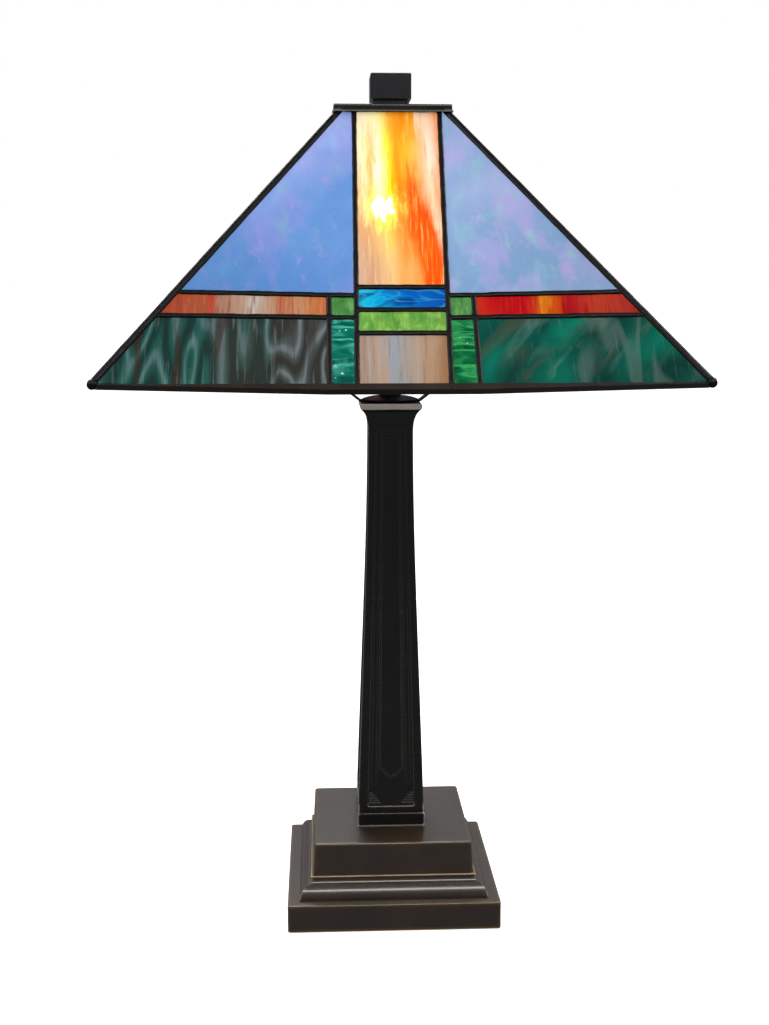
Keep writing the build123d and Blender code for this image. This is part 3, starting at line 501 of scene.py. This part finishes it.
def red(s, place):
    """Red bands with a flash of orange."""
    return banded(s, place, (0.05, 0.165), 0.028, [
        (0.0, (198, 52, 28)), (0.08, (200, 34, 26)), (0.16, (190, 8, 24)), (0.3, (194, 12, 26)),
        (0.36, (214, 84, 26)), (0.41, (232, 142, 34)), (0.46, (212, 82, 12)), (0.53, (172, 10, 26)),
        (0.6, (186, 36, 32)), (0.7, (192, 64, 42)), (0.84, (182, 56, 44)), (1.0, (170, 44, 38)),
    ], (150, 4, 20), (214, 66, 26))


def flames(s, place, fineness, height, nests, bend=0.0):
    """Nested upright tongues, as colours pulled through molten glass: waves from 0 to 1."""
    x, down = s.part(place, 0), s.part(place, 1)
    drift = s.noise(s.joined(x, s.maths("MULTIPLY", down, 0.5), s.part(place, 2)), fineness * 0.4, 1.0)
    crests = s.noise(s.joined(x, s.maths("MULTIPLY", down, bend), s.part(place, 2)), fineness, 1.0, 0.4)
    crests = s.maths("MULTIPLY", crests, s.maths("MULTIPLY", drift, 1.8))
    phase = s.maths("ADD", crests, s.maths("MULTIPLY", down, 1 / height))
    waves = s.maths("SINE", s.maths("MULTIPLY", phase, 2 * pi * nests))
    return s.maths("MULTIPLY_ADD", waves, 0.5, 0.5)


# where, across the dark left pane, its teal turns to grey
TEAL_TO_GREY = (-0.13, -0.085)


def dark_teal(s, place):
    """Grey-green, with nested milky tongues and upright lines of brown."""
    tongues = flames(s, place, 52, 0.3, 4.0, 0.16)
    fine = streaks(s, place, 300, 0.06, 0.3)
    patch = s.noise(s.scaled(place, (1.0, 0.12, 1.0)), 30, 1.0)
    reach = s.span(wandering(s, place, patch, 0.12), *TEAL_TO_GREY)
    green = s.ramp(tongues, [
        (0.1, (28, 58, 54)), (0.55, (34, 84, 76)), (0.8, (42, 92, 84)), (1.0, (84, 116, 116)),
    ])
    grey = s.ramp(tongues, [
        (0.1, (56, 54, 50)), (0.55, (70, 80, 76)), (0.8, (82, 90, 88)), (1.0, (112, 118, 122)),
    ])
    colour = s.mix(reach, green, grey)
    lines = s.noise(s.scaled(place, (1.0, 0.1, 1.0)), 85, 2.0, 0.5, 0.3)
    colour = tinted(s, colour, lines, 0.54, 0.66, 0.75, (60, 46, 40))
    colour = tinted(s, colour, fine, 0.5, 0.36, 0.4, (44, 52, 48))
    return tinted(s, colour, fine, 0.56, 0.7, 0.3, (140, 150, 152))


def dark_green(s, place):
    """Deep green with drifting smoke of milky white and brown, and faint upright tongues."""
    body = s.noise(leaning(s, place, 0.4, 0.6), 24, 3.0, 0.5, 0.5)
    colour = s.ramp(body, [
        (0.32, (14, 58, 52)), (0.46, (8, 82, 70)), (0.58, (6, 102, 84)), (0.7, (14, 118, 96)),
    ])
    smoke = s.noise(leaning(s, place, 0.5, 0.35), 46, 3.0, 0.55, 0.5)
    colour = tinted(s, colour, smoke, 0.57, 0.74, 0.4, (108, 146, 136))
    browns = s.noise(leaning(s, place, 0.7, 0.4), 40, 3.0, 0.55, 0.5)
    colour = tinted(s, colour, browns, 0.56, 0.7, 0.5, (82, 72, 58))
    tongues = s.maths("MULTIPLY", flames(s, place, 50, 0.3, 3.0, 0.1), s.span(s.part(place, 0), 0.08, 0.12))
    colour = tinted(s, colour, tongues, 0.6, 1.0, 0.25, (120, 136, 132))
    return tinted(s, colour, streaks(s, place, 300, 0.08, 0.3), 0.56, 0.74, 0.2, (110, 150, 140))


def rippled(s, place, dark, middle, bright):
    """Painted bands of light that follow the rolled waves, and a few painted hard sparkles."""
    waves = s.noise(s.scaled(place, (0.4, 1.5, 1.0)), 85, 2.0, 0.5, 0.9)
    colour = s.ramp(waves, [(0.34, dark), (0.47, middle), (0.56, bright), (0.62, middle), (0.72, dark)])
    cloud = s.noise(place, 70, 2.0)
    colour = tinted(s, colour, cloud, 0.5, 0.66, 0.4, bright)
    # painted sparkles: a few hard white glints
    return tinted(s, colour, s.noise(place, 280, 1.0), 0.73, 0.78, 1.0, (225, 245, 240))


def teal_ripple(s, place):
    """The left ripple pane."""
    return rippled(s, place, (6, 84, 72), (8, 120, 100), (84, 186, 166))


def green_ripple(s, place):
    """The right ripple pane."""
    return rippled(s, place, (4, 78, 46), (6, 108, 66), (60, 168, 92))


def distance(s, across, along):
    """The length of a step across and down the side."""
    squares = s.maths("ADD", s.maths("MULTIPLY", across, across), s.maths("MULTIPLY", along, along))
    return s.maths("SQRT", squares)


def glass_with_painted_glow(name, colouring, body=0.28, glow=0.5, gather=0.3, core=0.0, roughness=0.14, grain=0.0):
    """Art glass with the bulb's light through it painted in as the glass's own glow.

    body is its own colour's strength and glow its painted light's. gather is how much brighter the painted
    glow is nearest the bulb, core the brightness of the painted hot spot in front of it, and grain the
    strength of fine pits.
    """
    s = Shader(name, {"Specular IOR Level": 0.2})
    place = s.pane_place()
    colour = colouring(s, place)
    # the painted glow: the bulb's light through the glass, given off by the glass itself, brightest near the
    # bulb's spot
    across = s.maths("SUBTRACT", s.part(place, 0), BULB_SPOT_X)
    along = s.maths("SUBTRACT", s.part(place, 1), BULB_SPOT_DOWN)
    most, least = glow * (1 + gather), glow * (1 - 0.5 * gather)
    level = s.span(distance(s, across, along), GLOW_NEAR, GLOW_FAR, most, least)
    lit = s.mix(1.0, colour, s.joined(level, level, level), "MULTIPLY")
    # a painted hot spot, ragged, with a yellow halo, in front of the bulb
    if core:
        upright = distance(s, across, s.maths("MULTIPLY", along, CORE_HEIGHT))
        ragged = s.maths("SUBTRACT", s.noise(s.scaled(place, (1.0, 0.3, 1.0)), 260, 4.0, 0.65, 0.6), 0.5)
        near = s.maths("MULTIPLY_ADD", ragged, CORE_RAGGED, upright)
        halo = s.mix(s.span(near, HALO_RIM, HALO_FULL, 0.0, 0.85), lit, linear(255, 246, 96))
        lit = s.mix(s.span(near, CORE_RIM, CORE_FULL), halo, (core, core, core * 0.9, 1.0))
    s.feed("Base Color", s.mix(1.0, colour, (body, body, body, 1.0), "MULTIPLY"))
    s.feed("Emission Color", lit)
    s.feed("Emission Strength", 1.0)
    s.feed("Roughness", roughness)
    if grain:
        s.bump(s.noise(place, 900, 3.0, 0.6), 0.0002, grain)
    return s


# ---------------------------------------------------------------- meshes
def front_plane():
    """Outer surface of the front panes: its outward normal, and its point on the crown's middle line."""
    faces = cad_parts["glass_amber"].data.polygons
    upper_front = [face for face in faces if face.normal.y < -0.5 and face.normal.z > 0.3]
    outer = max(upper_front, key=lambda face: face.area)
    normal = outer.normal.normalized()
    crown_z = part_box("shade_cap")[0].z
    crown_y = outer.center.y + (outer.center.z - crown_z) * normal.z / normal.y
    return normal, Vector((0.0, crown_y, crown_z))


OUTWARD, CROWN = front_plane()
DOWNHILL = Vector((0.0, -OUTWARD.z, OUTWARD.y))


def down_slope(point):
    """How far down the front's slope a point is."""
    return (point - CROWN).dot(DOWNHILL)


BULB_CENTRE_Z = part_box("bulb_envelope")[1].z - BULB_RADIUS
BULB_SPOT_DOWN = (CROWN.z - BULB_CENTRE_Z) / -DOWNHILL.z


def link(name, mesh, material, body, node):
    """Put a finished mesh in the scene as a piece that rides on a body and stands for a node."""
    piece = bpy.data.objects.new(name, mesh)
    bpy.context.scene.collection.objects.link(piece)
    mesh.materials.clear()
    mesh.materials.append(material)
    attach(piece, body)
    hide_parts(node)
    return piece


def applied(mesh, *modifiers):
    """A mesh after a list of (type, settings) modifiers."""
    holder = bpy.data.objects.new("holder", mesh)
    bpy.context.scene.collection.objects.link(holder)
    for kind, settings in modifiers:
        modifier = holder.modifiers.new(kind.lower(), kind)
        for setting, value in settings.items():
            setattr(modifier, setting, value)
    graph = bpy.context.evaluated_depsgraph_get()
    result = bpy.data.meshes.new_from_object(holder.evaluated_get(graph))
    bpy.data.objects.remove(holder)
    return result


def rolled_waves(x, down, side):
    """Relief of rippled glass: waves across the pane that bend and run together."""
    bend = noise.noise(Vector((x * 70, down * 45, side * 5.0)))
    return 0.75 * sin(down * 620 + 4.0 * bend) + 0.5 * noise.noise(Vector((x * 160, down * 220, side)))


def water_waves(x, down, side):
    """Relief of water glass: crossing swells."""
    first = noise.noise(Vector((x * 150, down * 190, side * 3.0)))
    second = noise.noise(Vector((x * 330, down * 360, side * 3.0 + 9.0)))
    return 1.5 * first + 0.6 * second


def gentle_waves(x, down, side):
    """Relief of rolled opal glass: nearly flat, with long faint undulations."""
    return 1.2 * noise.noise(Vector((x * 38, down * 26, side * 4.0)))


def pane_sheet(node):
    """The outer face of a node's front pane, flat, as one polygon."""
    sheet = bmesh.new()
    sheet.from_mesh(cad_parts[node].data)
    others = [f for f in sheet.faces if f.normal.dot(OUTWARD) < 0.999]
    bmesh.ops.delete(sheet, geom=others, context="FACES")
    bmesh.ops.remove_doubles(sheet, verts=sheet.verts, dist=0.00001)
    bmesh.ops.dissolve_limit(sheet, angle_limit=0.01, verts=sheet.verts, edges=sheet.edges)
    return sheet


def cut_grid(sheet, pitch):
    """Cut a flat sheet into squares of the given pitch."""
    for axis, origin in ((Vector((1.0, 0.0, 0.0)), Vector()), (DOWNHILL, CROWN)):
        places = [(v.co - origin).dot(axis) for v in sheet.verts]
        step = int(min(places) / pitch) - 1
        while step * pitch < max(places):
            if step * pitch > min(places):
                geometry = sheet.verts[:] + sheet.edges[:] + sheet.faces[:]
                cut_at = origin + axis * step * pitch
                bmesh.ops.bisect_plane(sheet, geom=geometry, plane_co=cut_at, plane_no=axis, dist=0.000002)
            step += 1


def pane_solid(node, pitch):
    """A node's front pane as a gridded solid, its layer of side coordinates, and its inner face's points."""
    pane = pane_sheet(node)
    cut_grid(pane, pitch)
    layer = pane.verts.layers.float_vector.new("pane")
    for v in pane.verts:
        v[layer] = Vector((v.co.x, down_slope(v.co), 0.0))
    extruded = bmesh.ops.extrude_face_region(pane, geom=pane.faces[:], use_keep_orig=True)
    inner = {g for g in extruded["geom"] if isinstance(g, bmesh.types.BMVert)}
    for v in inner:
        v.co -= OUTWARD * GLASS_THICKNESS
    bmesh.ops.recalc_face_normals(pane, faces=pane.faces[:])
    for face in pane.faces:
        face.smooth = True
    for edge in pane.edges:
        if edge.calc_face_angle(0.0) > SHARP_EDGE:
            edge.smooth = False
    return pane, layer, inner


def add_turned(whole, shape, quarters):
    """Add a shape to a whole, after a number of quarter turns about the lamp's axis."""
    part = bpy.data.meshes.new("quarter")
    shape.to_mesh(part)
    part.transform(Matrix.Rotation(quarters * pi / 2, 4, "Z"))
    whole.from_mesh(part)
    bpy.data.meshes.remove(part)


def finished(shape, name):
    """A shape as a mesh."""
    mesh = bpy.data.meshes.new(name)
    shape.to_mesh(mesh)
    shape.free()
    return mesh


def pane_mesh(node, pitch, relief, height):
    """All four panes of a node, one on each side, with their relief cut into both faces."""
    pane, layer, inner = pane_solid(node, pitch)
    rims = {v for edge in pane.edges if not edge.smooth for v in edge.verts}
    flat = {v: v.co.copy() for v in pane.verts}
    whole = bmesh.new()
    for side in range(4):
        for v, place in flat.items():
            x, down, _ = v[layer]
            v[layer] = Vector((x, down, side * SIDE_STEP))
            if v not in rims:
                face_side = side + (INNER_STEP if v in inner else 0.0)
                v.co = place + OUTWARD * height * relief(x, down, face_side)
        add_turned(whole, pane, side)
    pane.free()
    return finished(whole, node)


def run_solder(node):
    """A node's shape as run solder: softened, a little swollen and uneven."""
    mesh = applied(
        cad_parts[node].data.copy(),
        ("REMESH", {"mode": "VOXEL", "voxel_size": SOLDER_VOXEL}),
        ("SMOOTH", {"factor": 0.5, "iterations": SOLDER_PASSES}),
    )
    normals = [v.normal.copy() for v in mesh.vertices]
    for v, normal in zip(mesh.vertices, normals):
        v.co += normal * (SOLDER_SWELL + SOLDER_UNEVEN * noise.noise(v.co * 120))
    mesh.shade_smooth()
    return mesh


# ---------------------------------------------------------------- the lamp
def felt_pad():
    """The felt under the base: a thin sheet with a softly pressed edge."""
    low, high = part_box("base_pad")
    pad = bmesh.new()
    bmesh.ops.create_grid(pad, x_segments=64, y_segments=64, size=1.0)
    half, thickness = (high.x - low.x) / 2, high.z - low.z
    for v in pad.verts:
        v.co = Vector((v.co.x * half, v.co.y * half, low.z))
    extruded = bmesh.ops.extrude_face_region(pad, geom=pad.faces[:], use_keep_orig=True)
    for v in (g for g in extruded["geom"] if isinstance(g, bmesh.types.BMVert)):
        edge = half - max(abs(v.co.x), abs(v.co.y))
        fuzz = FELT_FUZZ * noise.noise(v.co * 300)
        v.co.z += thickness - FELT_PRESS * max(0.0, 1 - edge / FELT_PRESS_WIDTH) - abs(fuzz)
    bmesh.ops.recalc_face_normals(pad, faces=pad.faces[:])
    mesh = finished(pad, "felt_pad")
    mesh.shade_smooth()
    piece = link("felt_pad", mesh, felt_cloth().material, "stand", "base_pad")


# how each kind of glass is cut up and how high its relief stands
WATER = dict(pitch=1.3 * MM, relief=water_waves, height=0.30 * MM)
ROLLED = dict(pitch=1.3 * MM, relief=rolled_waves, height=0.38 * MM)
GENTLE = dict(pitch=5.0 * MM, relief=gentle_waves, height=0.12 * MM)
# node: material slot, colouring, relief, and how its painted glow is set
PANES = {
    "glass_lavender_left": ("lavender_glass", lavender_left, GENTLE, {}),
    "glass_lavender_right": ("lavender_pale_glass", lavender_right, GENTLE, {}),
    "glass_amber": ("amber_glass", amber, GENTLE, dict(glow=0.56, gather=0.35, core=6.0, grain=0.3)),
    "glass_water_blue": ("water_blue_glass", water_blue, WATER, dict(roughness=0.06)),
    "glass_light_green": ("light_green_glass", light_green, GENTLE, {}),
    "glass_taupe": ("taupe_glass", taupe, GENTLE, {}),
    "glass_caramel_strip": ("caramel_glass", caramel, GENTLE, {}),
    "glass_red_strip": ("red_glass", red, GENTLE, {}),
    "glass_green_square_left": ("square_green_glass", square_green, GENTLE, {}),
    "glass_green_square_right": ("square_green_glass", square_green, GENTLE, {}),
    "glass_teal_ripple": ("teal_ripple_glass", teal_ripple, ROLLED, dict(glow=0.58, roughness=0.06)),
    "glass_green_ripple": ("green_ripple_glass", green_ripple, ROLLED, dict(glow=0.58, roughness=0.06)),
    "glass_dark_left": ("dark_teal_glass", dark_teal, GENTLE, dict(glow=0.58)),
    "glass_dark_right": ("dark_green_glass", dark_green, GENTLE, dict(glow=0.58)),
}


def glazing():
    """The panes of all four sides."""
    finishes = {}
    for node, (slot, colouring, cut, light) in PANES.items():
        if slot not in finishes:
            finishes[slot] = glass_with_painted_glow(slot, colouring, **light).material
        mesh = pane_mesh(node, **cut)
        link(node.replace("glass", "pane"), mesh, finishes[slot], "shade", node)


def leadwork():
    """Rounded solder lines, one mesh turned onto the four sides, the hips, and the rim's corner drops."""
    finish = solder_patina().material
    front = run_solder("solder_lines_front")
    for quarter, side in enumerate(("front", "right", "back", "left")):
        mesh = front.copy()
        mesh.transform(Matrix.Rotation(quarter * pi / 2, 4, "Z"))
        link(f"solder_{side}", mesh, finish, "shade", f"solder_lines_{side}")
    link("solder_hips", hip_beads(), finish, "shade", "hip_seams")
    link("solder_balls", corner_drops(), finish, "shade", "corner_balls")


def hip_point(z):
    """The line where the front and right sides meet, at a height."""
    half = -CROWN.y + (CROWN.z - z) * DOWNHILL.y / DOWNHILL.z
    return Vector((half, -half, z))


def hip_beads():
    """A wavering bead of solder down each hip."""
    inward = Vector((OUTWARD.y, -OUTWARD.y, -2 * OUTWARD.z)).normalized()
    top = hip_point(CROWN.z + HIP_UNDER_CAP) + inward * HIP_INSET
    foot = hip_point(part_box("hip_seams")[0].z + HIP_RADIUS) + inward * HIP_INSET
    along = foot - top
    across = along.cross(inward).normalized()
    beads = bmesh.new()
    rings = int(along.length / HIP_RING_STEP)
    rows = []
    for ring in range(rings + 1):
        centre = top + along * ring / rings
        row = []
        for spoke in range(HIP_SPOKES):
            angle = 2 * pi * spoke / HIP_SPOKES
            out = inward * cos(angle) + across * sin(angle)
            wobble = 1 + HIP_UNEVEN * noise.noise((centre + out * HIP_RADIUS) * 90)
            row.append(beads.verts.new(centre + out * HIP_RADIUS * wobble))
        rows.append(row)
    for upper, lower in zip(rows, rows[1:]):
        for spoke in range(HIP_SPOKES):
            after = (spoke + 1) % HIP_SPOKES
            beads.faces.new((upper[spoke], upper[after], lower[after], lower[spoke]))
    for row in (rows[0], rows[-1]):
        beads.faces.new(row)
    return on_four_sides(beads, "solder_hips")


def corner_drops():
    """An uneven drop of solder on each corner of the rim."""
    low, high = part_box("corner_balls")
    radius = (high.z - low.z) / 2
    centre = Vector((high.x - radius, low.y + radius, low.z + radius))
    drops = bmesh.new()
    bmesh.ops.create_icosphere(drops, subdivisions=4, radius=1.0)
    for v in drops.verts:
        out = v.co.copy()
        v.co = centre + out * radius * DROP_SHARE * (1 + DROP_UNEVEN * noise.noise(out * 1.5))
    return on_four_sides(drops, "solder_balls")


def on_four_sides(shape, name):
    """A smooth mesh of a shape and its three quarter turns about the lamp's axis."""
    bmesh.ops.recalc_face_normals(shape, faces=shape.faces[:])
    whole = bmesh.new()
    for quarters in range(4):
        add_turned(whole, shape, quarters)
    shape.free()
    mesh = finished(whole, name)
    mesh.shade_smooth()
    return mesh


# the finish of each material slot of the CAD nodes that stay in sight
FINISHES = {
    "dark_bronze": dark_bronze,
    "base_bronze": base_bronze,
    "black_wood": black_wood,
    "cast_iron": lambda: patina("cast_iron", (52, 50, 48), (84, 80, 76), 0.6, 0.7, 60),
    "zinc_steel": lambda: patina("zinc_steel", (150, 152, 150), (196, 196, 190), 0.3, 1.0, 120),
    "black_plastic": lambda: patina("black_plastic", (18, 18, 19), (34, 33, 33), 0.35, 0.0, 200),
    "brass": lambda: patina("brass", (150, 112, 52), (206, 168, 92), 0.28, 1.0, 80),
    "fibre": lambda: patina("fibre", (120, 74, 46), (160, 108, 70), 0.8, 0.0, 140),
    "aluminium": lambda: patina("aluminium", (170, 170, 168), (214, 214, 210), 0.3, 1.0, 120),
    "black_glass": lambda: patina("black_glass", (14, 12, 20), (30, 26, 38), 0.12, 0.0, 150),
    "clear_glass": clear_glass,
    "opal_bulb": lit_opal,
    "filament": glowing_wire,
}
# nodes in the dark bronze slot that are blackened instead
BLACKENED = ("column_casting", "shade_cap")


def finish_frame():
    """Give every CAD node that stays in sight its procedural finish."""
    made, blackened = {}, column_bronze().material
    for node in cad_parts.values():
        if node.hide_render:
            continue
        if node.name in BLACKENED:
            node.material_slots[0].material = blackened
            continue
        for holder in node.material_slots:
            slot = holder.material.name
            if slot not in made:
                made[slot] = FINISHES[slot]().material
            holder.material = made[slot]


# ---------------------------------------------------------------- studio
def make_camera():
    """The camera, level with the middle of the shade and a little to the lamp's left."""
    data = bpy.data.cameras.new("camera")
    data.lens = CAMERA_LENS
    data.sensor_width = CAMERA_SENSOR
    camera = bpy.data.objects.new("camera", data)
    camera.location = CAMERA_PLACE
    camera.rotation_euler = (pi / 2 + CAMERA_PITCH, 0.0, CAMERA_YAW)
    bpy.context.scene.collection.objects.link(camera)
    bpy.context.scene.camera = camera


def add_light(name, kind, energy, place, target, size):
    """A light aimed at a target; size is a soft box's sides, a bulb's radius or a sun's angle."""
    data = bpy.data.lights.new(name, kind)
    data.energy = energy
    if kind == "AREA":
        data.shape = "RECTANGLE"
        data.size, data.size_y = size
    elif kind == "POINT":
        data.shadow_soft_size = size
    else:
        data.angle = size
    light = bpy.data.objects.new(name, data)
    light.location = place
    light.rotation_euler = (Vector(target) - Vector(place)).to_track_quat("-Z", "Y").to_euler()
    bpy.context.scene.collection.objects.link(light)
    return light


def studio():
    """White surroundings, a pale floor, an even overhead light, and soft boxes all round."""
    world = bpy.data.worlds.new("studio")
    bpy.context.scene.world = world
    world.use_nodes = True
    tree = world.node_tree
    seen = tree.nodes.new("ShaderNodeLightPath")
    white = tree.nodes["Background"]
    white.inputs["Color"].default_value = (1.0, 1.0, 1.0, 1.0)
    dim = tree.nodes.new("ShaderNodeBackground")
    dim.inputs["Color"].default_value = WORLD_GREY
    both = tree.nodes.new("ShaderNodeMixShader")
    tree.links.new(seen.outputs["Is Camera Ray"], both.inputs[0])
    tree.links.new(dim.outputs[0], both.inputs[1])
    tree.links.new(white.outputs[0], both.inputs[2])
    tree.links.new(both.outputs[0], tree.nodes["World Output"].inputs[0])

    floor = bpy.data.meshes.new("floor")
    disc = bmesh.new()
    bmesh.ops.create_circle(disc, cap_ends=True, segments=96, radius=FLOOR_RADIUS)
    disc.to_mesh(floor)
    disc.free()
    light = {"Emission Color": (1.0, 1.0, 1.0, 1.0), "Emission Strength": 0.6}
    s = Shader("floor", {"Roughness": 0.9, **light})
    s.feed("Base Color", s.mix(s.noise(s.place(), 3.0, 3.0), linear(232, 232, 231), linear(240, 240, 239)))
    floor.materials.append(s.material)
    ground = bpy.data.objects.new("floor", floor)
    bpy.context.scene.collection.objects.link(ground)
    ground.visible_glossy = False
    ground.visible_diffuse = False

    sun = add_light("overhead", "SUN", SUN_STRENGTH, (0.0, 0.0, 3.0), (0.0, 0.0, 0.0), SUN_ANGLE)
    sun.visible_glossy = False
    for quarter in range(4):
        place = Matrix.Rotation(quarter * pi / 2, 4, "Z") @ Vector(SOFT_BOX_PLACE)
        add_light(f"soft_box_{quarter}", "AREA", SOFT_BOX_POWER, place, SOFT_BOX_AIM, SOFT_BOX_SIZE)
    bulb_place = (0.0, 0.0, BULB_CENTRE_Z)
    glow = add_light("bulb_glow", "POINT", GLOW_POWER, bulb_place, (0.0, 0.0, 0.0), GLOW_RADIUS)
    glow.visible_camera = glow.visible_glossy = False


studio()
make_camera()
felt_pad()
glazing()
leadwork()
finish_frame()
bpy.context.scene.view_settings.view_transform = "Standard"
